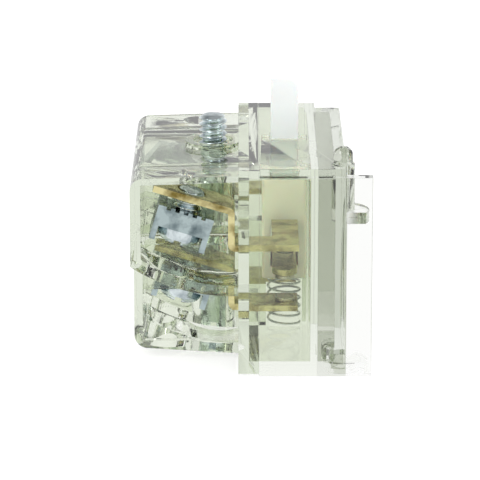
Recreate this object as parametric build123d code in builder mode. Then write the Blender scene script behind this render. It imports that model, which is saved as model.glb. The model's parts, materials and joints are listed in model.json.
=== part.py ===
from build123d import *
import os
from math import cos, radians, sin, tan

# Contact block of a 30 mm push button: one normally closed and one normally open
# double-break contact in a clear moulded housing with four saddle-clamp terminals.
# X runs from the terminal end to the coupling ears, Y from near to far, Z up.
# The origin is under the middle of the block, on the surface it stands on.
# All sizes are in millimetres.

os.makedirs("parts", exist_ok=True)

# Lengths along X, which add up to the width of the block
terminal_length = 13.2
partition_thick = 1.3
rim_length = 1.25
chamber_length = 10.55
ear_radius = 3.2

# Depths along Y, from the middle out, and heights along Z
core_half = 3.3
face_inset = 0.1
flange_step = 1.3
cover_height = 26.1
near_wall_drop = 0.9
top_fall = 0.4
flange_lift = 0.3

# Walls of the mouldings
end_wall = 1.3
face_wall = 1.5
top_wall = 1.3
floor_wall = 1.6
roof_wall = 0.8
roof_gap = 0.1
web = 0.9

# Terminal housing: underside of the upper tier and of the lower tier
upper_under_right = 9.9
upper_under_middle = 11.1
upper_under_left = 13.6
lower_under_right = 0.6
lower_under_left = 1.4
lower_corner = 1.7
lower_inset = 0.25
tier_drop = 9.35
corner_radius = 1.6

# Terminals: a tilted brass plate, a saddle under it and a screw through both
terminal_tilt = 17.0
terminal_share = 0.553
terminal_z = 21.7
terminal_cover = 3.4
strip_thick = 0.8
strip_width = 5.4
plate_half = 4.6
leg_gap = 0.45
bend_radius = 0.9
pocket_gap = 0.25
tongue_width = 4.0

saddle_length = 7.0
saddle_gap = 1.3
saddle_height = 2.6
saddle_wing = 0.7
wing_height = 4.4
saddle_groove = 0.35
groove_pitch = 1.1

screw_diameter = 3.5
screw_pitch = 0.794
screw_head = 5.4
screw_head_height = 2.2
screw_tip = 0.3
screw_fit = 0.06
slot_width = 0.9
slot_depth = 1.0
clamp_travel = 1.2
access_bore = 5.2
relief_gap = 0.25

# Captive mounting screw and its retaining ring
mount_to_flange = 3.2
nose_length = 3.7
thread_gap = 0.3
mount_shank = 2.9
mount_bore = 3.8
mount_head = 5.2
mount_head_length = 6.4
mount_head_z = 1.3
mount_clearance = 0.15
socket_bore = 2.9
socket_depth = 5.2
ring_boss = 7.0
ring_boss_bore = 5.0
ring_boss_height = 0.5
foot_diameter = 8.0
sleeve_wall = 0.8
sleeve_below = 3.3
ring_outer = 5.4
ring_thick = 0.5
ring_gap = 0.1
ring_opening = 1.8

# Plunger, contact carrier and its guides
plunger_x = 3.22
plunger_width = 3.46
plunger_depth = 2.8
plunger_reach = 7.8
plunger_seat = 1.3
plunger_round = 1.6
plunger_fit = 0.1
carrier_width = 5.6
carrier_depth = 6.2
carrier_bottom = 8.4
carrier_below = 4.3
carrier_stop = 0.3
carrier_travel = 4.0
guide_width = 2.4
guide_depth = 0.6
guide_fit = 0.1
guide_block = 1.1
floor_slot_gap = 0.25
barrier_gap = 0.25
barrier_thick = 0.9

# Contacts: bridges across the block, with a spring between them
nc_tongue_z = 15.5
no_tongue_z = 5.9
bridge_thick = 0.8
bridge_width = 3.1
bridge_end = 1.3
contact_diameter = 2.5
contact_height = 0.5
contact_y = 6.35
nc_contact_gap = 0.05
no_contact_gap = 2.4
nc_opening = 3.2
window_gap = 0.15
arm_width = 3.3

# Springs
spring_wire = 0.3
contact_spring_diameter = 2.2
contact_spring_turns = 4
return_spring_diameter = 4.1
return_spring_turns = 6
spring_gap = 0.05

# Coupling ears and locating post
ear_shift = 0.35
ear_thick = 1.4
upper_ear_z = 19.2
ear_hole = 3.3
ear_recess = 4.7
ear_recess_depth = 0.7
niche_height = 2.5
post_diameter = 2.4
post_root = 2.8
post_shoulder = 0.2
post_top = 28.4
recess_depth = 2.6

# Places worked out from the sizes above
block_width = terminal_length + partition_thick + rim_length + chamber_length + ear_radius
x_end = -block_width / 2
x_flange = x_end + terminal_length
x_partition = x_flange + partition_thick
x_seam = x_partition + rim_length
x_face = x_seam + chamber_length
x_tip = x_face + ear_radius
x_inner = x_face - end_wall
x_mount = x_flange - mount_to_flange
x_plunger = x_seam + plunger_x
tilt = radians(terminal_tilt)
x_plate = x_end + terminal_share * terminal_length

pocket_width = strip_width + 2 * pocket_gap
y_inner_terminal = core_half + pocket_width / 2
y_lower_pocket = core_half + pocket_width
y_lower = y_lower_pocket + web
y_upper_pocket = y_lower
y_outer_terminal = y_upper_pocket + pocket_width / 2
y_tier = y_upper_pocket + pocket_width - face_inset
y_cover = y_tier + flange_step
x_barrier = x_plunger + carrier_width / 2 + barrier_gap
x_compartment = x_barrier + barrier_thick
x_ear = x_face - ear_shift
y_ear = -y_cover + ear_radius
cover_depth = 2 * y_cover
x_leg = x_flange - leg_gap - strip_thick / 2

near_wall_height = cover_height - near_wall_drop
tier_height = terminal_z + terminal_cover
plate_rise = plate_half * sin(tilt) + strip_thick * cos(tilt)
hollow_floor = terminal_z + plate_rise - tier_drop + roof_gap + web
hollow_top = tier_height - top_wall
sleeve_top = tier_height - sleeve_below
nose_foot = tier_height + ring_boss_height + thread_gap
carrier_top = cover_height - carrier_below
plunger_bottom = carrier_top - plunger_seat
plunger_top = cover_height + plunger_reach

nc_contact_z = nc_tongue_z - contact_height
nc_bridge_z = nc_contact_z - nc_contact_gap - contact_height - bridge_thick
no_contact_z = no_tongue_z + strip_thick + contact_height
no_bridge_z = no_contact_z + no_contact_gap + contact_height
window_bottom = no_bridge_z
window_top = nc_bridge_z + bridge_thick + carrier_travel - nc_opening + window_gap
bridge_half = contact_y + bridge_end


def ceiling(x, drop):
    """Height of the upper face of a terminal plate at x."""
    plate_top = terminal_z + strip_thick / cos(tilt) - drop
    return plate_top - (x - x_plate) * tan(tilt)


def terminal_plane(y, drop):
    """Plane on the underside of a terminal plate, with its normal along the screw."""
    return Plane(
        origin=(x_plate, y, terminal_z - drop),
        x_dir=(cos(tilt), 0, -sin(tilt)),
        z_dir=(sin(tilt), 0, cos(tilt)),
    )


# Each terminal: name, side of the block, distance from the middle, drop of its tier
terminals = [
    ("outer_near", -1, y_outer_terminal, 0.0),
    ("outer_far", 1, y_outer_terminal, 0.0),
    ("inner_near", -1, y_inner_terminal, tier_drop),
    ("inner_far", 1, y_inner_terminal, tier_drop),
]

# Terminal housing: two stepped tiers behind a flange that closes the contact chamber
with BuildPart() as terminal_housing:
    # Upper tier, with a top that falls to the terminal end and a curved underside
    with BuildSketch(Plane.XZ):
        with BuildLine():
            upper_edge = Polyline(
                (x_flange, upper_under_right),
                (x_flange, tier_height),
                (x_end, tier_height - top_fall),
                (x_end, upper_under_left),
            )
            ThreePointArc(
                upper_edge @ 1,
                (x_end + terminal_length * 0.38, upper_under_middle),
                upper_edge @ 0,
            )
        make_face()
        fillet(vertices().group_by(Axis.X)[0].sort_by(Axis.Y)[-1], radius=corner_radius)
    extrude(amount=y_tier, both=True)
    # Lower tier, set back from both faces, with one rounded bottom corner
    with BuildSketch(Plane.XZ):
        with BuildLine():
            Polyline(
                (x_flange, lower_under_right),
                (x_flange, hollow_floor),
                (x_end + lower_inset, hollow_floor),
                (x_end + lower_inset, lower_under_left),
                (x_flange, lower_under_right),
            )
        make_face()
        fillet(vertices().group_by(Axis.X)[0].sort_by(Axis.Y)[0], radius=lower_corner)
    extrude(amount=y_lower, both=True)
    # Flange and the rim that meets the cover
    with BuildSketch(Plane.YZ.offset(x_flange)):
        with Locations((0, (cover_height + flange_lift) / 2)):
            Rectangle(cover_depth, cover_height - flange_lift)
    extrude(amount=partition_thick + rim_length)
    with BuildSketch(Plane.YZ.offset(x_partition)):
        with Locations((0, (cover_height - top_wall + floor_wall) / 2)):
            Rectangle(cover_depth - 2 * face_wall, cover_height - top_wall - floor_wall)
    extrude(amount=rim_length, mode=Mode.SUBTRACT)
    # Middle hollow between the outer terminals, open to the chamber
    with BuildSketch(Plane.YZ.offset(x_end + end_wall)):
        with Locations((0, (hollow_top + hollow_floor) / 2)):
            RectangleRounded(2 * (y_upper_pocket - web), hollow_top - hollow_floor, web)
    extrude(amount=terminal_length - end_wall + partition_thick, mode=Mode.SUBTRACT)
    # Sleeve and foot of the mounting screw, and the ring boss on top
    with BuildSketch(Plane.XY.offset(lower_under_right)):
        with Locations((x_mount, 0)):
            Circle(mount_bore / 2 + sleeve_wall)
    extrude(amount=sleeve_top - lower_under_right)
    with BuildSketch(Plane.XY):
        with Locations((x_mount, 0)):
            Circle(foot_diameter / 2)
    extrude(amount=lower_under_left + web)
    with BuildSketch(Plane.XY.offset(tier_height - top_wall / 2)):
        with Locations((x_mount, 0)):
            Circle(ring_boss / 2)
    extrude(amount=top_wall / 2 + ring_boss_height)
    with BuildSketch(Plane.XY.offset(tier_height)):
        with Locations((x_mount, 0)):
            Circle(ring_boss_bore / 2)
    extrude(amount=ring_boss_height, mode=Mode.SUBTRACT)
    # Guide rib of the carrier
    rib_end = x_plunger - carrier_width / 2 + guide_depth - guide_fit
    with BuildSketch(Plane.XY.offset(floor_wall)):
        with Locations(((x_partition - partition_thick / 2 + rib_end) / 2, 0)):
            Rectangle(rib_end - x_partition + partition_thick / 2, guide_width)
    extrude(amount=hollow_floor - floor_wall)
    # Terminal pockets, each with a roof just above the high end of its brass plate
    for name, side, y_terminal, drop in terminals:
        pocket_inner = y_terminal - pocket_width / 2
        pocket_left = x_end + end_wall
        roof_right = tier_height - roof_wall if drop == 0 else hollow_floor - web
        roof_left = roof_right - top_fall if drop == 0 else roof_right
        with BuildSketch(Plane.XZ.offset(-side * pocket_inner)):
            with BuildLine():
                pocket_edge = Polyline(
                    (x_flange, upper_under_right + top_wall - drop),
                    (x_flange, roof_right),
                    (pocket_left, roof_left),
                    (pocket_left, upper_under_left + web - drop),
                )
                ThreePointArc(
                    pocket_edge @ 1,
                    (x_end + terminal_length * 0.42, upper_under_middle + end_wall - drop),
                    pocket_edge @ 0,
                )
            make_face()
        extrude(amount=-side * pocket_width, mode=Mode.SUBTRACT)
        # Access bore for the screwdriver, with a chamfered rim, and relief for the tip
        plane = terminal_plane(side * y_terminal, drop)
        with BuildSketch(plane.offset(-saddle_gap)):
            Circle(access_bore / 2)
        extrude(amount=-(terminal_z - upper_under_right), mode=Mode.SUBTRACT)
        with BuildSketch(plane):
            Circle(screw_diameter / 2 + relief_gap)
        extrude(
            amount=strip_thick + screw_tip + clamp_travel + relief_gap,
            mode=Mode.SUBTRACT,
        )
        # Slot that the contact tongue passes through into the chamber
        tongue_z = nc_tongue_z if drop == 0 else no_tongue_z
        slot_span = tongue_width if drop == 0 else strip_width
        with BuildSketch(Plane.YZ.offset(x_flange)):
            with Locations((side * y_terminal, tongue_z + strip_thick / 2)):
                Rectangle(slot_span + 2 * window_gap, strip_thick + 2 * window_gap)
        extrude(amount=partition_thick, mode=Mode.SUBTRACT)
    # Windows in the near and far faces of the lower tier
    for side in (-1, 1):
        window_low = lower_under_left + web
        window_high = upper_under_right - web
        with BuildSketch(Plane.XZ.offset(-side * y_lower_pocket)):
            with Locations((x_flange - (terminal_length - end_wall) / 2, (window_low + window_high) / 2)):
                Rectangle(terminal_length - end_wall, window_high - window_low)
        extrude(amount=-side * web, mode=Mode.SUBTRACT)
    # Bore and counterbore of the mounting screw
    with BuildSketch(Plane.XY):
        with Locations((x_mount, 0)):
            Circle(mount_bore / 2)
    extrude(amount=tier_height + ring_boss_height, mode=Mode.SUBTRACT)
    with BuildSketch(Plane.XY):
        with Locations((x_mount, 0)):
            Circle(mount_head / 2 + mount_clearance)
    extrude(
        amount=mount_head_z + mount_head_length + ring_gap,
        mode=Mode.SUBTRACT,
    )
terminal_housing.part.label = "terminal_housing"
export_step(terminal_housing.part, "parts/terminal_housing.step")

# Cover: chamber shell, near wall that runs on past it, two ears and the locating post
with BuildPart() as contact_cover:
    with BuildSketch(Plane.XY):
        with Locations(((x_seam + x_face) / 2, 0)):
            Rectangle(chamber_length, cover_depth)
    extrude(amount=cover_height)
    # Near wall, running on to the tips of the ears
    with BuildSketch(Plane.XZ.offset(y_cover)):
        with Locations(((x_seam + x_tip) / 2, near_wall_height / 2)):
            Rectangle(x_tip - x_seam, near_wall_height)
    extrude(amount=-face_wall)
    # Ears, one at the foot and one below the top
    for ear_z in (0, upper_ear_z):
        with BuildSketch(Plane.XY.offset(ear_z)):
            with Locations((x_ear, y_ear)):
                Circle(ear_radius)
        extrude(amount=ear_thick)
    # Chamber, and the recess at the far side for the near wall of a second block
    with BuildSketch(Plane.XY.offset(floor_wall)):
        with Locations(((x_seam + x_inner) / 2, -(recess_depth + end_wall - face_wall) / 2)):
            Rectangle(x_inner - x_seam, cover_depth - face_wall - recess_depth - end_wall)
        with Locations(((x_seam + x_inner - ear_radius) / 2, 0)):
            Rectangle(x_inner - ear_radius - x_seam, cover_depth - 2 * face_wall)
    extrude(amount=cover_height - top_wall - floor_wall, mode=Mode.SUBTRACT)
    # Barrier beyond the carrier, and the compartment behind it, open below
    with BuildSketch(Plane.XY.offset(floor_wall / 2)):
        with Locations((x_barrier + barrier_thick / 2, 0)):
            Rectangle(barrier_thick, cover_depth - face_wall)
    extrude(amount=cover_height - top_wall / 2 - floor_wall / 2)
    with BuildSketch(Plane.XY):
        with Locations(((x_compartment + x_inner) / 2, 0)):
            Rectangle(x_inner - x_compartment, 2 * core_half)
    extrude(amount=floor_wall, mode=Mode.SUBTRACT)
    with BuildSketch(Plane.XY):
        with Locations((x_face - ear_radius / 2, y_cover - recess_depth / 2)):
            Rectangle(ear_radius, recess_depth)
    extrude(amount=cover_height, mode=Mode.SUBTRACT)
    # Top of the near wall is lower than the chamber
    with BuildSketch(Plane.XZ.offset(y_cover)):
        with Locations(((x_seam + x_tip) / 2, (near_wall_height + cover_height) / 2)):
            Rectangle(x_tip - x_seam, cover_height - near_wall_height)
    extrude(amount=-face_wall / 2, mode=Mode.SUBTRACT)
    # Boss around the niche that takes the post of the block below
    with BuildSketch(Plane.XY):
        with Locations((x_ear, y_ear)):
            Circle(ear_hole / 2 + web)
        with Locations((x_face + ear_radius / 2, y_ear)):
            Rectangle(ear_radius, cover_depth, mode=Mode.SUBTRACT)
    extrude(amount=niche_height + web)
    with BuildSketch(Plane.XY):
        with Locations((x_ear, y_ear)):
            Circle(ear_hole / 2)
    extrude(amount=niche_height, mode=Mode.SUBTRACT)
    with BuildSketch(Plane.XY.offset(ear_thick - ear_recess_depth)):
        with Locations((x_ear, y_ear)):
            Circle(ear_recess / 2)
    extrude(amount=ear_recess_depth, mode=Mode.SUBTRACT)
    # Locating post, half sunk in the chamber wall up to a shoulder, with a rounded top
    with BuildSketch(Plane.XZ.offset(-y_ear)):
        with BuildLine():
            post_edge = Polyline(
                (x_ear, post_top),
                (x_ear, upper_ear_z),
                (x_ear + post_root / 2, upper_ear_z),
                (x_ear + post_root / 2, cover_height + post_shoulder),
                (x_ear + post_diameter / 2, cover_height + post_shoulder),
                (x_ear + post_diameter / 2, post_top - post_diameter / 2),
            )
            RadiusArc(post_edge @ 1, post_edge @ 0, -post_diameter / 2)
        make_face()
    revolve(axis=Axis((x_ear, y_ear, 0), (0, 0, 1)))
    # Guides at both edges of the plunger under the top, and the guide rib of the carrier
    with BuildSketch(Plane.XY.offset(carrier_top + carrier_stop)):
        with Locations((x_plunger, 0)):
            Rectangle(plunger_width + 2 * guide_block, plunger_depth)
    extrude(amount=cover_height - carrier_top - carrier_stop - top_wall / 2)
    with BuildSketch(Plane.XY.offset(carrier_top)):
        with Locations((x_plunger, 0)):
            Rectangle(plunger_width + 2 * plunger_fit, plunger_depth + 2 * plunger_fit)
    extrude(amount=cover_height - carrier_top, mode=Mode.SUBTRACT)
    rib_start = x_plunger + carrier_width / 2 - guide_depth + guide_fit
    with BuildSketch(Plane.XY.offset(floor_wall / 2)):
        with Locations(((rib_start + x_compartment) / 2, 0)):
            Rectangle(x_compartment - rib_start, guide_width)
    extrude(amount=carrier_top - floor_wall / 2)
    # Floor slot for the plunger of a block stacked below
    with BuildSketch(Plane.XY):
        with Locations((x_plunger, 0)):
            Rectangle(plunger_width + 2 * floor_slot_gap, plunger_depth + 2 * floor_slot_gap)
    extrude(amount=floor_wall, mode=Mode.SUBTRACT)
contact_cover.part.label = "contact_cover"
export_step(contact_cover.part, "parts/contact_cover.step")

# Plunger: a flat bar with one rounded top corner, seated in the carrier
with BuildPart() as plunger:
    with BuildSketch(Plane.XZ):
        with Locations((x_plunger, (plunger_top + plunger_bottom) / 2)):
            Rectangle(plunger_width, plunger_top - plunger_bottom)
        fillet(vertices().group_by(Axis.Y)[-1].sort_by(Axis.X)[-1], radius=plunger_round)
    extrude(amount=plunger_depth / 2, both=True)
plunger.part.label = "plunger"
export_step(plunger.part, "parts/plunger.step")

# Contact carrier: a frame with one window that holds both bridges
with BuildPart() as contact_carrier:
    with BuildSketch(Plane.XY.offset(carrier_bottom)):
        with Locations((x_plunger, 0)):
            RectangleRounded(carrier_width, carrier_depth, web / 2)
    extrude(amount=carrier_top - carrier_bottom)
    # Grooves that run on the guide ribs
    with BuildSketch(Plane.XY.offset(carrier_bottom)):
        for side in (-1, 1):
            with Locations((x_plunger + side * (carrier_width - guide_depth) / 2, 0)):
                Rectangle(guide_depth, guide_width + 2 * guide_fit)
    extrude(amount=carrier_top - carrier_bottom, mode=Mode.SUBTRACT)
    # Window, open to the near and far sides
    with BuildSketch(Plane.XZ):
        with Locations((x_plunger, (window_top + window_bottom) / 2)):
            Rectangle(bridge_width + 2 * window_gap, window_top - window_bottom)
    extrude(amount=carrier_depth / 2, both=True, mode=Mode.SUBTRACT)
    # Socket of the plunger
    with BuildSketch(Plane.XY.offset(plunger_bottom)):
        with Locations((x_plunger, 0)):
            Rectangle(plunger_width, plunger_depth)
    extrude(amount=carrier_top - plunger_bottom, mode=Mode.SUBTRACT)
contact_carrier.part.label = "contact_carrier"
export_step(contact_carrier.part, "parts/contact_carrier.step")

# Bridges: name, height of the bar, height where its contacts start
bridges = [
    ("nc", nc_bridge_z, nc_bridge_z + bridge_thick),
    ("no", no_bridge_z, no_bridge_z - contact_height),
]
for name, bar_z, contact_z in bridges:
    with BuildPart() as bridge:
        with BuildSketch(Plane.XY.offset(bar_z)):
            with Locations((x_plunger, 0)):
                SlotOverall(2 * bridge_half, bridge_width, rotation=90)
        extrude(amount=bridge_thick)
    bridge.part.label = name + "_bridge"
    export_step(bridge.part, "parts/" + name + "_bridge.step")

    with BuildPart() as bridge_contacts:
        with BuildSketch(Plane.XY.offset(contact_z)):
            for side in (-1, 1):
                with Locations((x_plunger, side * contact_y)):
                    Circle(contact_diameter / 2)
        extrude(amount=contact_height)
    bridge_contacts.part.label = name + "_bridge_contacts"
    export_step(bridge_contacts.part, "parts/" + name + "_bridge_contacts.step")

# Stationary contacts, riveted to the tongues of the strips
with BuildPart() as stationary_contacts:
    for contact_z in (nc_contact_z, no_contact_z - contact_height):
        with BuildSketch(Plane.XY.offset(contact_z)):
            for side in (-1, 1):
                with Locations((x_plunger, side * contact_y)):
                    Circle(contact_diameter / 2)
        extrude(amount=contact_height)
stationary_contacts.part.label = "stationary_contacts"
export_step(stationary_contacts.part, "parts/stationary_contacts.step")

# Springs: name, mean diameter, turns, foot and top
springs = [
    ("contact_spring", contact_spring_diameter, contact_spring_turns,
     no_bridge_z + bridge_thick, nc_bridge_z),
    ("return_spring", return_spring_diameter, return_spring_turns,
     floor_wall, carrier_bottom),
]
for name, diameter, turns, foot, top in springs:
    coil_height = top - foot - spring_wire - 2 * spring_gap
    with BuildPart() as spring:
        with BuildLine():
            coil = Helix(
                pitch=coil_height / turns,
                height=coil_height,
                radius=diameter / 2,
                center=(x_plunger, 0, foot + spring_gap + spring_wire / 2),
            )
        with BuildSketch(Plane(origin=coil @ 0, z_dir=coil % 0)):
            RegularPolygon(spring_wire / 2, 6)
        sweep(is_frenet=True)
    spring.part.label = name
    export_step(spring.part, "parts/" + name + ".step")

# Terminals: brass strip, saddle and screw
for name, side, y_terminal, drop in terminals:
    y_centre = side * y_terminal
    plane = terminal_plane(y_centre, drop)
    tongue_z = nc_tongue_z if drop == 0 else no_tongue_z
    half_thick = strip_thick / 2
    x_plate_end = x_plate - plate_half * cos(tilt)
    x_tongue_end = x_plunger + arm_width / 2

    # Strip: tilted plate, leg down the partition and tongue into the chamber
    with BuildPart() as strip:
        with BuildSketch(Plane.XZ.offset(-y_centre)):
            with BuildLine():
                FilletPolyline(
                    (x_plate_end, ceiling(x_plate_end, drop) - half_thick / cos(tilt)),
                    (x_leg, ceiling(x_leg, drop) - half_thick / cos(tilt)),
                    (x_leg, tongue_z + half_thick),
                    (x_flange, tongue_z + half_thick),
                    radius=bend_radius - half_thick,
                )
            trace(line_width=strip_thick)
        extrude(amount=strip_width / 2, both=True)
        tongue_span = tongue_width if drop == 0 else strip_width
        with BuildSketch(Plane.XY.offset(tongue_z)):
            with Locations(((x_flange + x_tongue_end) / 2 - half_thick, y_centre)):
                Rectangle(x_tongue_end - x_flange + strip_thick, tongue_span)
            if drop == 0:
                arm_inner = y_inner_terminal - strip_width / 2
                arm_outer = y_terminal + tongue_width / 2
                with Locations((x_plunger, side * (arm_inner + arm_outer) / 2)):
                    Rectangle(arm_width, arm_outer - arm_inner)
        extrude(amount=strip_thick)
        # Tapped hole of the clamp screw
        with BuildSketch(plane):
            Circle(screw_diameter / 2 + screw_fit)
        extrude(amount=strip_thick, mode=Mode.SUBTRACT)
    strip.part.label = "strip_" + name
    export_step(strip.part, "parts/strip_" + name + ".step")

    # Saddle: grooved block that the screw head bears on, with a wing at each end
    with BuildPart() as saddle:
        with BuildSketch(plane.offset(-saddle_gap)):
            Rectangle(saddle_length, strip_width)
        extrude(amount=-saddle_height)
        with BuildSketch(plane.offset(-saddle_gap)):
            with Locations(
                (-(saddle_length - saddle_wing) / 2, 0),
                ((saddle_length - saddle_wing) / 2, 0),
            ):
                Rectangle(saddle_wing, strip_width)
        extrude(amount=-wing_height)
        with BuildSketch(plane.offset(-saddle_gap)):
            with GridLocations(groove_pitch, 0, 5, 1):
                Rectangle(groove_pitch / 2, strip_width)
        extrude(amount=-saddle_groove, mode=Mode.SUBTRACT)
        with BuildSketch(plane.offset(-saddle_gap)):
            Circle(screw_diameter / 2 + screw_fit)
        extrude(amount=-saddle_height, mode=Mode.SUBTRACT)
    saddle.part.label = "saddle_" + name
    export_step(saddle.part, "parts/saddle_" + name + ".step")

    # Screw: domed slotted head under the saddle, shank up through the plate
    head_start = saddle_gap + saddle_height
    with BuildPart() as screw:
        with BuildSketch(plane.offset(-head_start)):
            Circle(screw_head / 2)
        extrude(amount=-screw_head_height)
        fillet(faces().sort_by(Axis.Z)[0].edges(), radius=screw_head_height * 0.55)
        with BuildSketch(plane.offset(-head_start)):
            Circle(screw_diameter / 2)
        extrude(amount=head_start + strip_thick + screw_tip)
        with BuildSketch(plane.offset(-head_start - screw_head_height)):
            Rectangle(slot_width, screw_head)
        extrude(amount=slot_depth, mode=Mode.SUBTRACT)
    screw.part.label = "screw_" + name
    export_step(screw.part, "parts/screw_" + name + ".step")

# Mounting screw: threaded nose, thin shank and a long slotted head with a tapped socket
with BuildPart() as mounting_screw:
    nose_top = tier_height + nose_length
    head_top = mount_head_z + mount_head_length
    with BuildSketch(Plane.XY.offset(mount_head_z)):
        with Locations((x_mount, 0)):
            Circle(mount_head / 2)
    extrude(amount=mount_head_length)
    with BuildSketch(Plane.XY.offset(head_top)):
        with Locations((x_mount, 0)):
            Circle(mount_shank / 2)
    extrude(amount=nose_top - head_top)
    with BuildSketch(Plane.XY.offset(nose_foot)):
        with Locations((x_mount, 0)):
            Circle(screw_diameter / 2)
    extrude(amount=nose_top - nose_foot)
    chamfer(faces().sort_by(Axis.Z)[-1].edges(), length=screw_pitch / 2)
    with BuildSketch(Plane.XY.offset(mount_head_z)):
        with Locations((x_mount, 0)):
            Circle(socket_bore / 2)
    extrude(amount=socket_depth, mode=Mode.SUBTRACT)
    with BuildSketch(Plane.XY.offset(mount_head_z)):
        with Locations((x_mount, 0)):
            Rectangle(slot_width, mount_head)
    extrude(amount=slot_depth, mode=Mode.SUBTRACT)
mounting_screw.part.label = "mounting_screw"
export_step(mounting_screw.part, "parts/mounting_screw.step")

# Retaining ring: an open ring on the shank, above the sleeve
with BuildPart() as retaining_ring:
    with BuildSketch(Plane.XY.offset(sleeve_top + ring_gap)):
        with Locations((x_mount, 0)):
            Circle(ring_outer / 2)
            Circle(mount_shank / 2, mode=Mode.SUBTRACT)
        with Locations((x_mount + ring_outer / 2, 0)):
            Rectangle(ring_outer, ring_opening, mode=Mode.SUBTRACT)
    extrude(amount=ring_thick)
retaining_ring.part.label = "retaining_ring"
export_step(retaining_ring.part, "parts/retaining_ring.step")
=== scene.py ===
import json
import math

import bmesh
import bpy
from bpy.props import FloatProperty, FloatVectorProperty, IntProperty, PointerProperty
from mathutils import Matrix, Vector


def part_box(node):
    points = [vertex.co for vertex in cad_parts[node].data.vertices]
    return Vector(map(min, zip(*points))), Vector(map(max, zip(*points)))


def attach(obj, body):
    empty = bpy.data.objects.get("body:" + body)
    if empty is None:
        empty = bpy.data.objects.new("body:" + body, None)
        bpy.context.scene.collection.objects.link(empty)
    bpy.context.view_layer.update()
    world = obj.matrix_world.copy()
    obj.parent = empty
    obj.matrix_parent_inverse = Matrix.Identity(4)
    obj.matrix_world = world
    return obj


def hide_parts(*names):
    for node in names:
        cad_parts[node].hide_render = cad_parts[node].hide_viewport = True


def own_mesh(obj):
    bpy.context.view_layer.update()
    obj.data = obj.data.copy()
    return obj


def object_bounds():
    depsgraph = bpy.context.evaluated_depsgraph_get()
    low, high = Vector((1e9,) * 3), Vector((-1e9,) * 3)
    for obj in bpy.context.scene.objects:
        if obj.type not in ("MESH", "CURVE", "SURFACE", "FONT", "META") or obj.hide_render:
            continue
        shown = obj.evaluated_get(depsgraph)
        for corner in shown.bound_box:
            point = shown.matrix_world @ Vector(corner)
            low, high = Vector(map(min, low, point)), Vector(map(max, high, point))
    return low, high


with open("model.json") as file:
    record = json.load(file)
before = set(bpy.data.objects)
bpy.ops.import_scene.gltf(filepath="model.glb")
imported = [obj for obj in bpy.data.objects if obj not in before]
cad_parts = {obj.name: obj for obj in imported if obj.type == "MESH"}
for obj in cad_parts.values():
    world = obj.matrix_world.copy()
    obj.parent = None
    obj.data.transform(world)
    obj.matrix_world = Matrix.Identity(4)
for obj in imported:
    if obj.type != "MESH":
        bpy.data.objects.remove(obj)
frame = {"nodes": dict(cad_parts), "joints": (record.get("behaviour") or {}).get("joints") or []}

bl_info = {
    "name": "Contact block",
    "version": (1, 0, 0),
    "blender": (4, 5, 0),
    "location": "3D View > Sidebar > Contact block",
    "description": "Dresses the packed contact block in clear plastic, brass and zinc",
    "category": "Object",
}

MM = 0.001
UP = (0, 0, 1)
WHITE = (1, 1, 1, 1)
CAD_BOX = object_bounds()
TERMINALS = ("outer_near", "outer_far", "inner_near", "inner_far")
JOINTS = {joint["name"]: joint for joint in frame["joints"]}


def linear(hex_colour):
    """sRGB hex to linear red, green and blue."""
    parts = [int(hex_colour[i:i + 2], 16) / 255 for i in (1, 3, 5)]
    return tuple(c / 12.92 if c <= 0.04045 else ((c + 0.055) / 1.055) ** 2.4 for c in parts)


# Properties

def length_property(name, description, default):
    """A length, its default given in millimetres."""
    return FloatProperty(
        name=name, description=description, default=default * MM, min=0.0,
        subtype="DISTANCE", unit="LENGTH")


def point_property(name, description, default):
    """A point, its default given in millimetres."""
    return FloatVectorProperty(
        name=name, description=description, default=[c * MM for c in default],
        subtype="XYZ", unit="LENGTH")


def colour_property(name, description, default):
    """A colour, its default given as sRGB hex."""
    return FloatVectorProperty(
        name=name, description=description, default=linear(default),
        subtype="COLOR", min=0.0, max=1.0)


class BlockSizes(bpy.types.PropertyGroup):
    """Sizes of the details that are finer than the moulded and stamped forms."""

    mould_edge: length_property(
        "Mould edge", "Width of the rounded edge of the clear mouldings", 0.16)
    stamp_edge: length_property(
        "Stamp edge", "Width of the broken edge of stamped brass and steel", 0.07)
    thread_major: length_property(
        "Thread diameter", "Outer diameter of the screw threads", 3.5)
    thread_pitch: length_property(
        "Thread pitch", "Rise of the thread in one turn", 0.794)
    thread_depth: length_property(
        "Thread depth", "Depth from crest to root", 0.48)
    spring_wire: length_property(
        "Spring wire", "Diameter of the spring wire", 0.3)
    chamber_low: point_property(
        "Chamber low corner", "Low corner of the frosted inside of the contact chamber",
        (0.0, -16.5, 1.5))
    chamber_high: point_property(
        "Chamber high corner", "High corner of the frosted inside of the contact chamber",
        (10.4, 16.5, 24.7))
    # From here along X the plastic's base colour is darkened, past the chamber's barrier.
    darker_from: length_property(
        "Darker from", "Where the cloudier end of the chamber begins, beyond its barrier", 8.0)
    thin_from: length_property(
        "Thin from", "Where the single near wall and the ears begin, which show hardly any cast",
        11.6)
    return_turns: IntProperty(
        name="Return turns", description="Turns of the return spring", default=6, min=2)
    contact_turns: IntProperty(
        name="Contact turns", description="Turns of the contact spring", default=4, min=2)


class BlockColours(bpy.types.PropertyGroup):
    """Base colours of the real materials, as linear colours."""

    polycarbonate: colour_property(
        "Polycarbonate", "Clear polycarbonate with a faint green cast", "#E7ECDE")
    acetal: colour_property("Acetal", "White acetal of the plunger", "#CDD0D1")
    nylon: colour_property("Nylon", "Natural nylon of the carrier", "#FAF4E8")
    brass: colour_property("Brass", "Stamped yellow brass", "#DED5A0")
    zinc: colour_property("Zinc", "Bright blue passivated zinc plate", "#DAE4E6")
    silver: colour_property("Silver", "Silver alloy of the contact rivets", "#D8D3C6")


def sizes():
    return bpy.context.scene.block_sizes


def colours():
    return bpy.context.scene.block_colours


# Node trees

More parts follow.
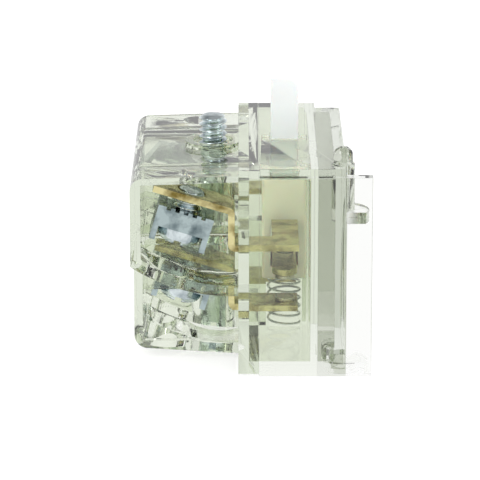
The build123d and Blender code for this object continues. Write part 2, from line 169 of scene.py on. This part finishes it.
def add_node(tree, kind, settings=None, links=None):
    """Adds a node, sets its properties and inputs, and links the inputs given as sockets."""
    node = tree.nodes.new(kind)
    for key, value in (settings or {}).items():
        if isinstance(key, int) or key in node.inputs:
            node.inputs[key].default_value = value
        else:
            setattr(node, key, value)
    for key, socket in (links or {}).items():
        tree.links.new(socket, node.inputs[key])
    return node


def math_node(tree, operation, *values):
    """A math node whose inputs are numbers or sockets; gives its output."""
    node = add_node(tree, "ShaderNodeMath", {"operation": operation})
    for index, value in enumerate(values):
        if isinstance(value, (int, float)):
            node.inputs[index].default_value = value
        else:
            tree.links.new(value, node.inputs[index])
    return node.outputs[0]


def split(tree, vector):
    """The X, Y and Z outputs of a vector."""
    return add_node(tree, "ShaderNodeSeparateXYZ", None, {"Vector": vector}).outputs


def noise(tree, place, size_mm, detail, roughness=0.5):
    """Soft noise whose patches are about as large as the size."""
    node = add_node(
        tree, "ShaderNodeTexNoise",
        {"Scale": 1 / (size_mm * MM), "Detail": detail, "Roughness": roughness},
        {"Vector": place})
    return node.outputs["Fac"]


def remap(tree, value, settings, links=None):
    """A value taken from one range to another."""
    node = add_node(tree, "ShaderNodeMapRange", settings, {"Value": value, **(links or {})})
    return node.outputs["Result"]


def bump(tree, height, strength, depth_mm):
    """The normal of a skin that is raised and sunk by a height."""
    node = add_node(tree, "ShaderNodeBump", {"Strength": strength, "Distance": depth_mm * MM},
                    {"Height": height})
    return node.outputs["Normal"]


def between(tree, factor, first, second):
    """A colour between two linear colours."""
    node = add_node(tree, "ShaderNodeMix", {"data_type": "RGBA"}, {"Factor": factor})
    node.inputs["A"].default_value = (*first, 1)
    node.inputs["B"].default_value = (*second, 1)
    return node.outputs[2]


# Materials

def new_material(name):
    """An empty material with its output, and the object coordinates that patterns follow."""
    made = bpy.data.materials.new(name)
    made.use_nodes = True
    tree = made.node_tree
    tree.nodes.clear()
    output = add_node(tree, "ShaderNodeOutputMaterial")
    place = add_node(tree, "ShaderNodeTexCoord")
    return made, tree, output, place.outputs["Object"]


def close_surface(tree, output, settings, links):
    """Ends a material with its surface shader."""
    shader = add_node(tree, "ShaderNodeBsdfPrincipled", settings, links)
    tree.links.new(shader.outputs["BSDF"], output.inputs["Surface"])


def in_chamber(tree, xyz):
    """1 inside the contact chamber, and 0 outside."""
    low, high = sizes().chamber_low, sizes().chamber_high
    inside = math_node(tree, "LESS_THAN", math_node(tree, "ABSOLUTE", xyz["Y"]), high[1])
    for axis, index in (("X", 0), ("Z", 2)):
        above = math_node(tree, "GREATER_THAN", xyz[axis], low[index])
        below = math_node(tree, "LESS_THAN", xyz[axis], high[index])
        inside = math_node(tree, "MULTIPLY", inside, math_node(tree, "MULTIPLY", above, below))
    return inside


def cast_along_block(tree, x):
    """The plastic's cast, by steps along X: clear, a darker base colour past the barrier, and
    hardly any where the wall is single."""
    # Share of the clear cast that is kept past the barrier, where the base colour is darkened.
    darker_share = 0.78
    thin_cast = (0.98, 0.985, 0.97)
    low, high = CAD_BOX[0].x, CAD_BOX[1].x
    along = remap(tree, x, {"From Min": low, "From Max": high})
    cast = add_node(tree, "ShaderNodeValToRGB", None, {"Fac": along})
    ramp = cast.color_ramp
    ramp.interpolation = "CONSTANT"
    clear = colours().polycarbonate
    ramp.elements[0].color = (*clear, 1)
    ramp.elements[1].position = (sizes().thin_from - low) / (high - low)
    ramp.elements[1].color = (*thin_cast, 1)
    # Past the barrier the clear cast is darkened to a share of itself.
    darker_step = ramp.elements.new((sizes().darker_from - low) / (high - low))
    darker_step.color = (*[c * darker_share for c in clear], 1)
    return cast.outputs["Color"]


def clear_polycarbonate():
    """Clear polycarbonate, injection moulded: faintly green through its thickness, with the slow
    ripple that a mould leaves on flat walls, and a frosted skin inside the contact chamber, where
    the mould's core is spark eroded."""
    polished, frosted = 0.02, 0.06
    through_tint = (0.58, 0.67, 0.53)
    made, tree, output, place = new_material("clear_moulded_polycarbonate")
    xyz = split(tree, place)
    ripple = noise(tree, place, 5, 1.5, 0.4)
    haze = noise(tree, place, 1.4, 4.0)
    skin = math_node(
        tree, "ADD", math_node(tree, "MULTIPLY", in_chamber(tree, xyz), frosted), polished)
    rough = remap(
        tree, haze, {"From Min": 0.35, "From Max": 0.75, "To Min": 0.0}, {"To Max": skin})
    close_surface(
        tree, output, {"IOR": 1.585, "Transmission Weight": 1.0},
        {"Base Color": cast_along_block(tree, xyz["X"]), "Roughness": rough,
         "Normal": bump(tree, ripple, 0.06, 0.25)})
    tint = add_node(
        tree, "ShaderNodeVolumeAbsorption", {"Color": (*through_tint, 1), "Density": 9.0})
    tree.links.new(tint.outputs["Volume"], output.inputs["Volume"])
    return made


def opaque_moulding(name, colour, dark_share, mottle_mm, skin_mm, skin_strength, settings):
    """An opaque moulded plastic: waxy, softly mottled, and with a fine skin."""
    made, tree, output, place = new_material(name)
    mottling = noise(tree, place, mottle_mm, 3.0)
    skin = noise(tree, place, skin_mm, 2.0)
    close_surface(
        tree, output, {"Subsurface Scale": 1.0 * MM, **settings},
        {"Base Color": between(tree, mottling, colour, [c * dark_share for c in colour]),
         "Normal": bump(tree, skin, skin_strength, 0.02)})
    return made


def white_acetal():
    """White acetal, injection moulded: softly glossy, with fine flow mottling."""
    return opaque_moulding(
        "white_moulded_acetal", colours().acetal, 0.93, 2.5, 0.25, 0.1,
        {"IOR": 1.48, "Roughness": 0.32, "Subsurface Weight": 0.15})


def natural_nylon():
    """Natural nylon, injection moulded: beige and cloudy, with a satin skin."""
    return opaque_moulding(
        "natural_moulded_nylon", colours().nylon, 0.88, 3, 0.3, 0.12,
        {"IOR": 1.53, "Roughness": 0.45, "Subsurface Weight": 0.2})


def metal(name, colour, dark, grain_mm, grain_stretch, roughness, bump_mm):
    """A metal with grain drawn out along one way, and darker tarnish in soft patches."""
    smoother, rougher = 0.7, 1.35
    made, tree, output, place = new_material(name)
    stretched = add_node(tree, "ShaderNodeMapping", {"Scale": grain_stretch}, {"Vector": place})
    grain = noise(tree, stretched.outputs["Vector"], grain_mm, 4.0, 0.6)
    tarnish = remap(tree, noise(tree, place, 1.7, 3.0), {"From Min": 0.42, "From Max": 0.72})
    rough = remap(tree, grain, {
        "From Min": 0.3, "From Max": 0.7,
        "To Min": roughness * smoother, "To Max": roughness * rougher})
    close_surface(
        tree, output, {"Metallic": 1.0},
        {"Base Color": between(tree, tarnish, colour, dark), "Roughness": rough,
         "Normal": bump(tree, grain, 0.35, bump_mm)})
    return made


def stamped_brass():
    """Yellow brass, stamped from rolled strip: warm and bright along the rolling grain,
    with brown tarnish in patches."""
    return metal("stamped_yellow_brass", colours().brass, linear("#7B6C36"),
                 0.35, (1.0, 6.0, 3.0), 0.22, 0.12)


def zinc_plate():
    """Steel with bright blue zinc plate: barrel plated, so it glitters unevenly and cool."""
    return metal("blue_zinc_plated_steel", colours().zinc, linear("#8A979D"),
                 0.8, (1.0, 1.0, 1.0), 0.18, 0.12)


def sawn_zinc_plate():
    """Steel bar with zinc plate over its saw marks: coarse, greyer and duller than the screws."""
    return metal("zinc_plated_sawn_steel", linear("#AEBDBE"), linear("#56666B"),
                 1.1, (1.0, 1.0, 2.0), 0.2, 0.4)


def silver_rivet():
    """Silver alloy, cold headed: pale and satin, slightly yellowed by air."""
    return metal("cold_headed_silver_alloy", colours().silver, linear("#A59A80"),
                 0.3, (1.0, 1.0, 1.0), 0.3, 0.02)


def spring_steel():
    """Spring steel, drawn wire: grey, with fine lines."""
    return metal("drawn_spring_wire", linear("#D2D5D6"), linear("#9FA3A6"),
                 0.2, (1.0, 1.0, 4.0), 0.28, 0.01)


MAKERS = {
    "clear": clear_polycarbonate, "acetal": white_acetal, "nylon": natural_nylon,
    "brass": stamped_brass, "zinc": zinc_plate, "sawn": sawn_zinc_plate,
    "silver": silver_rivet, "wire": spring_steel,
}
MATERIALS = {}


def material(name):
    """Each material is made once, when a piece first asks for it."""
    if name not in MATERIALS:
        MATERIALS[name] = MAKERS[name]()
    return MATERIALS[name]


# Meshes

def linked(name, data):
    """An object in the scene that holds the data."""
    obj = bpy.data.objects.new(name, data)
    bpy.context.scene.collection.objects.link(obj)
    return obj


def new_piece(node, ending, mesh, finish, body):
    """Makes a finished mesh the piece that stands for a CAD node and rides on a body."""
    mesh.name = node + ending
    piece = linked(node + ending, mesh)
    mesh.materials.clear()
    mesh.materials.append(material(finish))
    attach(piece, body)
    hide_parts(node)
    return piece


def evaluated_mesh(obj):
    """The object's mesh with its modifiers applied; the object itself is removed."""
    graph = bpy.context.evaluated_depsgraph_get()
    mesh = bpy.data.meshes.new_from_object(obj.evaluated_get(graph))
    bpy.data.objects.remove(obj)
    return mesh


def mesh_of(work, name):
    """A mesh from a bmesh, which is freed."""
    mesh = bpy.data.meshes.new(name)
    work.to_mesh(mesh)
    work.free()
    return mesh


def smoothed(mesh, crease):
    """Shades a mesh smooth, apart from creases sharper than the angle in degrees."""
    mesh.polygons.foreach_set("use_smooth", [True] * len(mesh.polygons))
    mesh.set_sharp_from_angle(angle=math.radians(crease))
    return mesh


def round_edges(obj, width, segments, crease, harden=False):
    """Rounds the edges that are sharper than the angle in degrees."""
    bevel = obj.modifiers.new("edges", "BEVEL")
    bevel.width = width
    bevel.segments = segments
    bevel.limit_method = "ANGLE"
    bevel.angle_limit = math.radians(crease)
    bevel.harden_normals = harden


def rounded_copy(node, width, segments=2, crease=28.0):
    """A copy of a CAD node's mesh, merged, with its edges rounded and its curves smooth."""
    mesh = frame["nodes"][node].data.copy()
    mesh.materials.clear()
    work = bmesh.new()
    work.from_mesh(mesh)
    bmesh.ops.remove_doubles(work, verts=work.verts, dist=0.0005 * MM)
    bmesh.ops.dissolve_limit(
        work, angle_limit=math.radians(1.0), verts=work.verts, edges=work.edges)
    work.to_mesh(mesh)
    work.free()
    shell = linked(node + "_work", smoothed(mesh, crease))
    round_edges(shell, width, segments, crease, harden=True)
    return evaluated_mesh(shell)


def turned(profile, steps=64):
    """A closed solid of revolution about Z from (radius, height) points."""
    work = bmesh.new()
    rings = []
    for radius, height in profile:
        if radius == 0:
            rings.append([work.verts.new((0, 0, height))])
        else:
            angles = [2 * math.pi * i / steps for i in range(steps)]
            rings.append([
                work.verts.new((radius * math.cos(a), radius * math.sin(a), height))
                for a in angles])
    for low, high in zip(rings, rings[1:]):
        for i in range(steps):
            j = (i + 1) % steps
            corners = [low[i % len(low)], low[j % len(low)],
                       high[j % len(high)], high[i % len(high)]]
            work.faces.new([v for k, v in enumerate(corners) if v not in corners[:k]])
    bmesh.ops.recalc_face_normals(work, faces=work.faces)
    return mesh_of(work, "turned")


def box_mesh(size, centre):
    """A box used only to cut slots."""
    work = bmesh.new()
    bmesh.ops.create_cube(
        work, size=1.0, matrix=Matrix.Translation(centre) @ Matrix.Diagonal((*size, 1)))
    return mesh_of(work, "cutter")


def cut(mesh, cutters, edge):
    """Cuts boxes out of a mesh, then breaks the sharp edges."""
    blank = linked("blank", mesh)
    tools = [linked("tool", cutter) for cutter in cutters]
    for tool in tools:
        slot = blank.modifiers.new("slot", "BOOLEAN")
        slot.operation = "DIFFERENCE"
        slot.solver = "EXACT"
        slot.object = tool
    round_edges(blank, edge, 2, 40)
    finished = evaluated_mesh(blank)
    for tool in tools:
        bpy.data.objects.remove(tool)
    return smoothed(finished, 38)


def joined(meshes):
    """One mesh from several."""
    work = bmesh.new()
    for mesh in meshes:
        work.from_mesh(mesh)
    return mesh_of(work, "joined")


def placed(mesh, origin, axis=UP):
    """Moves a mesh made along Z to an origin and axis."""
    swing = Vector(UP).rotation_difference(Vector(axis).normalized()).to_matrix().to_4x4()
    mesh.transform(Matrix.Translation(origin) @ swing)
    return mesh


# Geometry node trees

def new_tree(name, inputs):
    """A geometry tree with named inputs, a finish among them, and one geometry output."""
    tree = bpy.data.node_groups.new(name, "GeometryNodeTree")
    for label, kind, default in inputs:
        socket = tree.interface.new_socket(name=label, in_out="INPUT", socket_type=kind)
        socket.default_value = default
    tree.interface.new_socket(
        name="Finish", in_out="INPUT", socket_type="NodeSocketMaterial")
    tree.interface.new_socket(
        name="Geometry", in_out="OUTPUT", socket_type="NodeSocketGeometry")
    return tree, add_node(tree, "NodeGroupInput").outputs, add_node(tree, "NodeGroupOutput")


def close_tree(tree, geometry, given, output):
    """Ends a geometry tree with its instances made real and its finish set."""
    real = add_node(tree, "GeometryNodeRealizeInstances", None, {"Geometry": geometry})
    dressed = add_node(tree, "GeometryNodeSetMaterial", None,
                       {"Geometry": real.outputs["Geometry"], "Material": given["Finish"]})
    tree.links.new(dressed.outputs["Geometry"], output.inputs["Geometry"])


def run_tree(tree, values, finish):
    """Evaluates a geometry tree with its inputs set, as a plain mesh."""
    holder = linked("holder", bpy.data.meshes.new("holder"))
    modifier = holder.modifiers.new("made", "NODES")
    modifier.node_group = tree
    values = {**values, "Finish": material(finish)}
    for item in tree.interface.items_tree:
        if item.in_out == "INPUT":
            modifier[item.identifier] = values[item.name]
    return evaluated_mesh(holder)


def thread_tree():
    """A threaded rod: a finely ringed cylinder whose skin is pulled in along a helix, with a
    chamfered tip."""
    crest_width, flank_slope = 0.12, 1.3
    tree, given, output = new_tree("thread", [
        ("Radius", "NodeSocketFloat", 1.75 * MM), ("Depth", "NodeSocketFloat", 0.4 * MM),
        ("Pitch", "NodeSocketFloat", 0.8 * MM), ("Length", "NodeSocketFloat", 5 * MM),
        ("Rings", "NodeSocketInt", 60)])

    def calc(operation, *values):
        return math_node(tree, operation, *values)

    rod = add_node(
        tree, "GeometryNodeMeshCylinder", {"Vertices": 56, "fill_type": "NGON"},
        {"Radius": given["Radius"], "Depth": given["Length"], "Side Segments": given["Rings"]})
    xyz = split(tree, add_node(tree, "GeometryNodeInputPosition").outputs["Position"])
    turns = calc("DIVIDE", calc("ARCTAN2", xyz["Y"], xyz["X"]), 2 * math.pi)
    climb = calc("DIVIDE", xyz["Z"], given["Pitch"])
    phase = calc("FRACT", calc("SUBTRACT", climb, turns))
    saw = calc("ABSOLUTE", calc("SUBTRACT", calc("MULTIPLY", phase, 2.0), 1.0))
    flank = calc("MULTIPLY", calc("SUBTRACT", saw, crest_width), flank_slope)
    groove = calc("MINIMUM", calc("MAXIMUM", flank, 0.0), 1.0)
    half = calc("DIVIDE", given["Length"], 2.0)
    to_tip = calc("SUBTRACT", half, xyz["Z"])
    tip = calc("MAXIMUM", calc("SUBTRACT", calc("MULTIPLY", given["Pitch"], 0.5), to_tip), 0.0)
    pulled = calc("MAXIMUM", calc("MULTIPLY", groove, given["Depth"]), tip)
    share = calc("SUBTRACT", 1.0, calc("DIVIDE", pulled, given["Radius"]))
    skin = add_node(tree, "ShaderNodeCombineXYZ", None, {
        "X": calc("MULTIPLY", xyz["X"], share), "Y": calc("MULTIPLY", xyz["Y"], share),
        "Z": calc("ADD", xyz["Z"], half)})
    moved = add_node(tree, "GeometryNodeSetPosition", None,
                     {"Geometry": rod.outputs["Mesh"], "Position": skin.outputs["Vector"]})
    close_tree(tree, moved.outputs["Geometry"], given, output)
    return tree


def spring_tree():
    """A coil spring: a round wire along a helix, with capped ends."""
    tree, given, output = new_tree("coil_spring", [
        ("Diameter", "NodeSocketFloat", 4 * MM), ("Height", "NodeSocketFloat", 6 * MM),
        ("Turns", "NodeSocketFloat", 6.0), ("Wire", "NodeSocketFloat", 0.3 * MM)])
    radius = math_node(tree, "DIVIDE", given["Diameter"], 2.0)
    coil = add_node(
        tree, "GeometryNodeCurveSpiral", {"Resolution": 40},
        {"Rotations": given["Turns"], "Start Radius": radius, "End Radius": radius,
         "Height": given["Height"]})
    wire = add_node(tree, "GeometryNodeCurvePrimitiveCircle", {"Resolution": 10},
                    {"Radius": math_node(tree, "DIVIDE", given["Wire"], 2.0)})
    tube = add_node(tree, "GeometryNodeCurveToMesh", {"Fill Caps": True},
                    {"Curve": coil.outputs["Curve"], "Profile Curve": wire.outputs["Curve"]})
    smooth = add_node(
        tree, "GeometryNodeSetShadeSmooth", None, {"Geometry": tube.outputs["Mesh"]})
    close_tree(tree, smooth.outputs["Geometry"], given, output)
    return tree


def thread_mesh(length):
    """A thread of the block's own size and pitch, from Z 0 up."""
    rings_a_turn = 14
    tree = bpy.data.node_groups.get("thread") or thread_tree()
    mesh = run_tree(tree, {
        "Radius": sizes().thread_major / 2, "Depth": sizes().thread_depth,
        "Pitch": sizes().thread_pitch, "Length": length,
        "Rings": int(length / sizes().thread_pitch * rings_a_turn),
    }, "zinc")
    return smoothed(mesh, 50)


# Operators

class BLOCK_OT_housings(bpy.types.Operator):
    """Makes the two clear mouldings, with rounded edges"""
    bl_idname = "block.housings"
    bl_label = "Clear housings"

    seam_gap: length_property("Seam gap", "Hair of air between the two mouldings", 0.02)

    def execute(self, context):
        for node in ("terminal_housing", "contact_cover"):
            mesh = rounded_copy(node, sizes().mould_edge)
            self.keep_in_box(mesh)
            if node == "contact_cover":
                self.open_seam(mesh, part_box(node)[0].x)
            new_piece(node, "_moulding", mesh, "clear", "block")
        return {"FINISHED"}

    def keep_in_box(self, mesh):
        """Puts back the corners that the rounding has moved outward by a hair."""
        low, high = CAD_BOX
        for vertex in mesh.vertices:
            vertex.co = [min(max(c, low[axis]), high[axis]) for axis, c in enumerate(vertex.co)]

    def open_seam(self, mesh, seam):
        """Leaves air in the seam between the two mouldings, as where real ones meet."""
        for vertex in mesh.vertices:
            if vertex.co.x < seam + 0.001 * MM:
                vertex.co.x += self.seam_gap


class BLOCK_OT_strips(bpy.types.Operator):
    """Makes the brass strips and the bridges, with stamped edges"""
    bl_idname = "block.strips"
    bl_label = "Brass strips and bridges"

    def execute(self, context):
        for name in TERMINALS:
            mesh = rounded_copy("strip_" + name, sizes().stamp_edge)
            new_piece("strip_" + name, "_stamping", mesh, "brass", "block")
        for name in ("nc_bridge", "no_bridge"):
            mesh = rounded_copy(name, sizes().stamp_edge)
            new_piece(name, "_bar", mesh, "brass", name)
        return {"FINISHED"}


class BLOCK_OT_contacts(bpy.types.Operator):
    """Makes the contact rivets, with rounded rims"""
    bl_idname = "block.contacts"
    bl_label = "Contact rivets"

    def execute(self, context):
        for node, body in (
                ("stationary_contacts", "block"), ("nc_bridge_contacts", "nc_bridge"),
                ("no_bridge_contacts", "no_bridge")):
            mesh = rounded_copy(node, 2 * sizes().stamp_edge, 3)
            new_piece(node, "_rivets", mesh, "silver", body)
        return {"FINISHED"}


class BLOCK_OT_saddles(bpy.types.Operator):
    """Makes the zinc plated saddle clamps"""
    bl_idname = "block.saddles"
    bl_label = "Saddle clamps"

    def execute(self, context):
        for name in TERMINALS:
            node = "saddle_" + name
            mesh = rounded_copy(node, sizes().stamp_edge)
            new_piece(node, "_clamp", mesh, "sawn", node)
        return {"FINISHED"}


class BLOCK_OT_screws(bpy.types.Operator):
    """Makes the terminal screws: domed heads with a cross slot, and threaded shanks"""
    bl_idname = "block.screws"
    bl_label = "Terminal screws"

    head_radius: length_property("Head radius", "Radius of the domed head", 2.7)
    head_height: length_property("Head height", "Height of the domed head", 2.2)
    slot_width: length_property("Slot width", "Width of both slots of the cross", 0.9)
    slot_depth: length_property("Slot depth", "Depth of the cross below the dome's top", 1.0)
    cross_length: length_property("Cross length", "Length of the cross's shorter slot", 2.6)
    head_start: length_property("Head start", "From the plate down to the head", 3.9)
    tip: length_property("Tip", "How far the thread stands above the plate", 1.1)

    def execute(self, context):
        for name in TERMINALS:
            node = "screw_" + name
            joint = JOINTS["screw_turn_" + name]
            shank = thread_mesh(self.head_start + self.tip)
            mesh = placed(joined([self.head(), shank]), (0, 0, -self.head_start))
            placed(mesh, joint["pos_m"], joint["axis"])
            new_piece(node, "_threaded", mesh, "zinc", node)
        return {"FINISHED"}

    def head(self):
        """A head with its flat side at Z 0 and its dome and cross below."""
        radius, height, deep = self.head_radius, self.head_height, 2 * self.slot_depth
        rim = 0.4 * height
        steps, fullness = 8, 0.8
        dome = [(radius * math.cos(a) ** fullness, -rim - (height - rim) * math.sin(a))
                for a in [math.pi / 2 * i / steps for i in range(steps)]]
        blank = turned([(0, -height)] + dome[::-1] + [(radius, 0), (0, 0)])
        slot = box_mesh((self.slot_width, 3 * radius, deep), (0, 0, -height))
        cross = box_mesh((self.cross_length, self.slot_width, deep), (0, 0, -height))
        return cut(blank, [slot, cross], sizes().stamp_edge)


class BLOCK_OT_mounting_screw(bpy.types.Operator):
    """Makes the captive mounting screw and its retaining ring"""
    bl_idname = "block.mounting_screw"
    bl_label = "Mounting screw"

    nose_length: length_property("Nose length", "Length of the threaded nose", 3.9)
    shank_radius: length_property("Shank radius", "Radius of the plain shank", 1.45)
    head_radius: length_property("Head radius", "Radius of the long head", 2.6)
    head_length: length_property("Head length", "Length of the long head", 6.4)
    socket_depth: length_property("Socket depth", "Depth of the socket in the head", 5.2)
    slot_width: length_property("Slot width", "Width of the slot across the head", 0.9)
    slot_depth: length_property("Slot depth", "Depth of the slot across the head", 1.0)

    def execute(self, context):
        low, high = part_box("mounting_screw")
        nose_foot = high.z - low.z - self.nose_length
        nose = placed(thread_mesh(self.nose_length), (0, 0, nose_foot))
        foot = ((low.x + high.x) / 2, (low.y + high.y) / 2, low.z)
        mesh = placed(joined([self.body(nose_foot), nose]), foot)
        new_piece("mounting_screw", "_threaded", mesh, "zinc", "mounting_screw")
        ring = rounded_copy("retaining_ring", sizes().stamp_edge)
        new_piece("retaining_ring", "_stamping", ring, "wire", "block")
        return {"FINISHED"}

    def body(self, nose_foot):
        """The long head with its socket and slot, and the plain shank up to the nose."""
        shank, head, top = self.shank_radius, self.head_radius, self.head_length
        chamfer = 0.3 * MM
        profile = [
            (0, self.socket_depth), (shank, self.socket_depth), (shank, 0),
            (head - chamfer, 0), (head, chamfer), (head, top - chamfer),
            (head - chamfer, top), (shank, top), (shank, nose_foot), (0, nose_foot)]
        slot = box_mesh((self.slot_width, 3 * head, 2 * self.slot_depth), (0, 0, 0))
        return cut(turned(profile), [slot], sizes().stamp_edge)


class BLOCK_OT_slider(bpy.types.Operator):
    """Makes the white plunger and the nylon carrier"""
    bl_idname = "block.slider"
    bl_label = "Plunger and carrier"

    def execute(self, context):
        plunger = rounded_copy("plunger", 1.5 * sizes().mould_edge, 3)
        new_piece("plunger", "_bar", plunger, "acetal", "carrier")
        carrier = rounded_copy("contact_carrier", sizes().mould_edge)
        new_piece("contact_carrier", "_frame", carrier, "nylon", "carrier")
        return {"FINISHED"}


class BLOCK_OT_springs(bpy.types.Operator):
    """Makes the two coil springs, on the bodies they sit on"""
    bl_idname = "block.springs"
    bl_label = "Springs"

    def execute(self, context):
        springs = (
            ("return_spring", "block", "plunger_slide", sizes().return_turns),
            ("contact_spring", "no_bridge", "nc_bridge_slide", sizes().contact_turns),
        )
        tree = spring_tree()
        wire = sizes().spring_wire
        for node, body, joint, turns in springs:
            low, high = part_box(node)
            height = high.z - low.z
            mesh = run_tree(tree, {
                "Diameter": high.x - low.x - wire, "Height": height - wire,
                "Turns": float(turns), "Wire": wire,
            }, "wire")
            foot = Vector(((low.x + high.x) / 2, (low.y + high.y) / 2, low.z))
            mesh.transform(Matrix.Translation(foot + Vector((0, 0, wire / 2))))
            piece = new_piece(node, "_coil", mesh, "wire", body)
            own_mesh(piece)
        return {"FINISHED"}


class BLOCK_OT_stage(bpy.types.Operator):
    """Makes the floor, the lights, the surroundings and the camera"""
    bl_idname = "block.stage"
    bl_label = "Stage"

    elevation: FloatProperty(
        name="Camera elevation", description="How far the camera looks down",
        default=math.radians(16.3), subtype="ANGLE")
    distance: length_property("Camera distance", "From the camera to its aim", 400)
    aim: point_property("Camera aim", "The point that the camera looks at", (-1.35, 0.0, 12.4))
    lens: FloatProperty(
        name="Lens", description="Focal length of the camera, in millimetres", default=236.3)
    room_level: FloatProperty(
        name="Room level", description="Strength of the even light that falls on the object",
        default=1.6, min=0.0)

    def execute(self, context):
        scene = context.scene
        scene.view_settings.view_transform = "Standard"
        scene.cycles.max_bounces = 32
        scene.cycles.transmission_bounces = 28
        scene.cycles.glossy_bounces = 10
        scene.cycles.transparent_max_bounces = 24
        scene.cycles.caustics_reflective = False
        scene.cycles.blur_glossy = 0.0
        self.floor()
        self.surroundings(scene)
        self.lights()
        self.camera(scene)
        return {"FINISHED"}

    def in_gloss_or_glass(self, tree, ray):
        """1 where gloss or the clear plastic shows the surroundings to the camera, and 0 for
        what lights the object."""
        shown = math_node(tree, "MAXIMUM", ray["Is Glossy Ray"], ray["Is Transmission Ray"])
        direct = math_node(tree, "LESS_THAN", ray["Diffuse Depth"], 0.5)
        return math_node(tree, "MULTIPLY", shown, direct)

    def floor(self):
        """A pale floor that shows white to the camera, in gloss and through the plastic, and
        keeps a share of its own shading for the shadow."""
        white_share = 0.7
        bpy.ops.mesh.primitive_plane_add(size=6.0)
        floor = bpy.context.active_object
        floor.name = "floor"
        surface, tree, output, place = new_material("white_paper_floor")
        shade = remap(tree, noise(tree, place, 8, 3.0), {"To Min": 0.93, "To Max": 0.97})
        paper = add_node(tree, "ShaderNodeBsdfDiffuse", None, {"Color": shade})
        ray = add_node(tree, "ShaderNodeLightPath").outputs
        to_camera = math_node(tree, "MULTIPLY", ray["Is Camera Ray"], white_share)
        seen = math_node(tree, "MAXIMUM", self.in_gloss_or_glass(tree, ray), to_camera)
        white = add_node(tree, "ShaderNodeEmission", {"Color": WHITE, "Strength": 1.0})
        both = add_node(tree, "ShaderNodeMixShader", None,
                        {0: seen, 1: paper.outputs["BSDF"], 2: white.outputs["Emission"]})
        tree.links.new(both.outputs["Shader"], output.inputs["Surface"])
        floor.data.materials.append(surface)

    def surroundings(self, scene):
        """White all round for the camera, a room that darkens upward in gloss and through the
        plastic, and an even light on the object."""
        world = bpy.data.worlds.new("studio")
        scene.world = world
        world.use_nodes = True
        tree = world.node_tree
        tree.nodes.clear()
        output = add_node(tree, "ShaderNodeOutputWorld")
        ray = add_node(tree, "ShaderNodeLightPath").outputs
        way = add_node(tree, "ShaderNodeTexCoord")
        band = remap(tree, split(tree, way.outputs["Generated"])["Z"],
                     {"From Min": 0.22, "From Max": 0.72, "To Min": 1.0, "To Max": 0.38})
        shown = add_node(tree, "ShaderNodeMix", {"data_type": "FLOAT", "A": self.room_level},
                         {"Factor": self.in_gloss_or_glass(tree, ray), "B": band})
        level = add_node(tree, "ShaderNodeMix", {"data_type": "FLOAT", "B": 1.0},
                         {"Factor": ray["Is Camera Ray"], "A": shown.outputs[0]})
        light = add_node(tree, "ShaderNodeBackground", {"Color": WHITE},
                         {"Strength": level.outputs[0]})
        tree.links.new(light.outputs["Background"], output.inputs["Surface"])

    def lights(self):
        """A broad soft light above and to the left, and a weaker one from the right."""
        for name, place, width, power in (
                ("key_light", (-0.35, -0.35, 0.5), 0.35, 1.5),
                ("fill_light", (0.5, -0.3, 0.3), 0.3, 0.5)):
            data = bpy.data.lights.new(name, "AREA")
            data.shape = "DISK"
            data.size = width
            data.energy = power
            lamp = linked(name, data)
            lamp.location = place
            lamp.rotation_euler = Vector(place).to_track_quat("Z", "Y").to_euler()

    def camera(self, scene):
        """The photograph's view: level with the near side, a little above, with a long lens."""
        data = bpy.data.cameras.new("camera")
        data.lens = self.lens
        data.sensor_width = 36.0
        data.clip_start = 0.01
        camera = linked("camera", data)
        back = Vector((0, -math.cos(self.elevation), math.sin(self.elevation)))
        camera.location = Vector(self.aim) + back * self.distance
        camera.rotation_euler = back.to_track_quat("Z", "Y").to_euler()
        scene.camera = camera


OPERATORS = (
    BLOCK_OT_stage, BLOCK_OT_housings, BLOCK_OT_strips, BLOCK_OT_contacts, BLOCK_OT_saddles,
    BLOCK_OT_screws, BLOCK_OT_mounting_screw, BLOCK_OT_slider, BLOCK_OT_springs,
)


class BLOCK_PT_panel(bpy.types.Panel):
    """Sizes, colours and steps of the contact block"""
    bl_idname = "BLOCK_PT_panel"
    bl_label = "Contact block"
    bl_space_type = "VIEW_3D"
    bl_region_type = "UI"
    bl_category = "Contact block"

    def draw(self, context):
        layout = self.layout
        for group in (context.scene.block_sizes, context.scene.block_colours):
            box = layout.box()
            for name in group.__annotations__:
                box.prop(group, name)
        for operator in OPERATORS:
            layout.operator(operator.bl_idname)


CLASSES = (BlockSizes, BlockColours, *OPERATORS, BLOCK_PT_panel)


def register():
    for cls in CLASSES:
        bpy.utils.register_class(cls)
    bpy.types.Scene.block_sizes = PointerProperty(type=BlockSizes)
    bpy.types.Scene.block_colours = PointerProperty(type=BlockColours)


def unregister():
    del bpy.types.Scene.block_sizes
    del bpy.types.Scene.block_colours
    for cls in reversed(CLASSES):
        bpy.utils.unregister_class(cls)


def main():
    register()
    for operator in OPERATORS:
        group, step = operator.bl_idname.split(".")
        getattr(getattr(bpy.ops, group), step)()


if __name__ == "__main__":
    main()
